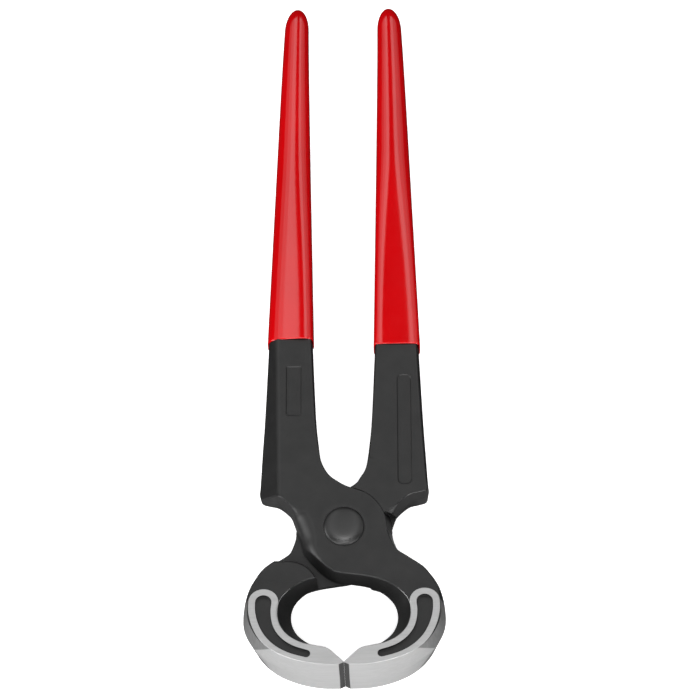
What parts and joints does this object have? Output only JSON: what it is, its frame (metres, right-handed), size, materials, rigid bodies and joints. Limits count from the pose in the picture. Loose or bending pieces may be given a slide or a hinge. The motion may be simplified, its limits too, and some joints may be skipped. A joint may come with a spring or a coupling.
{
  "type": "hoof nipper",
  "caption": "Long-handled riveted pincers with crossed forged levers, wide curved jaws with ground cutting edges and plastic handle sleeves.",
  "frame": {"origin": "centre of the rivet's flat back face, on the pivot axis", "axes": "+Z along the pivot axis towards the front lever, +Y along the closed handles towards their tips, +X to the right seen from the front"},
  "size_m": [0.0794, 0.2994, 0.0302],
  "materials": {
    "black_steel": "black oxide, jaws ground bare",
    "rivet_steel": "black oxide, satin",
    "red_plastic": "glossy dipped plastic"
  },
  "bodies": {
    "rear_half": {"rear_lever": "black_steel", "pivot_rivet": "rivet_steel", "right_grip_sleeve": "red_plastic"},
    "front_half": {"front_lever": "black_steel", "left_grip_sleeve": "red_plastic"}
  },
  "joints": [
    {"name": "pivot", "type": "hinge", "parent": "rear_half", "child": "front_half", "pos_m": [0, 0, 0.0096], "axis": [0, 0, 1], "range_deg": [0, 24]}
  ]
}
